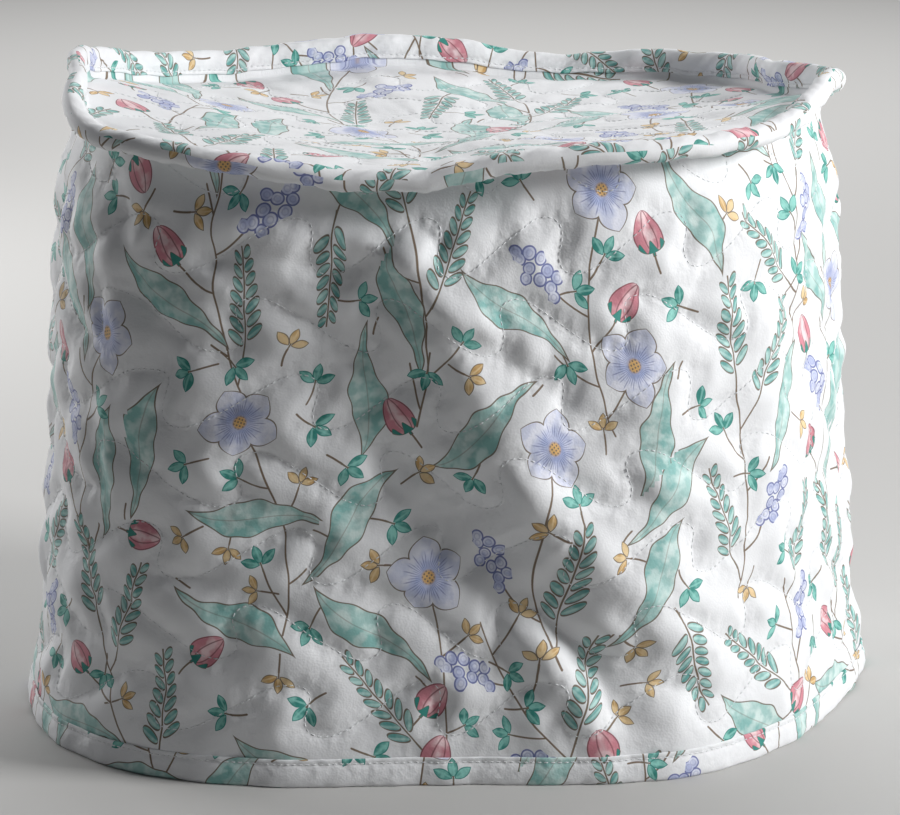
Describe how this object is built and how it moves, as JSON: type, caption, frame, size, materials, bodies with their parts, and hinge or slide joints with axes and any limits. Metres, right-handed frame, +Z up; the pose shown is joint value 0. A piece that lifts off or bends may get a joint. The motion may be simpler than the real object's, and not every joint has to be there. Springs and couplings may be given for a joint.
{
  "type": "slow cooker cover",
  "caption": "Quilted floral cotton cover for an oval slow cooker, standing hollow on its bound hem, with a bound standing seam round a gently sagging top.",
  "frame": {"origin": "middle of the cover's bounding box, on the surface that the hem rests on", "axes": "+X along the oval's long axis, to the right seen from the front, -Y out of the front, +Z up"},
  "size_m": [0.4138, 0.3158, 0.3086],
  "materials": {
    "quilted_cloth": "matt quilted cotton, white with a small floral print",
    "binding_cloth": "matt folded cotton strip of the same printed cloth"
  },
  "bodies": {
    "root": {"top_panel": "quilted_cloth", "side_band": "quilted_cloth", "rim_binding": "binding_cloth", "hem_binding": "binding_cloth"}
  },
  "joints": []
}
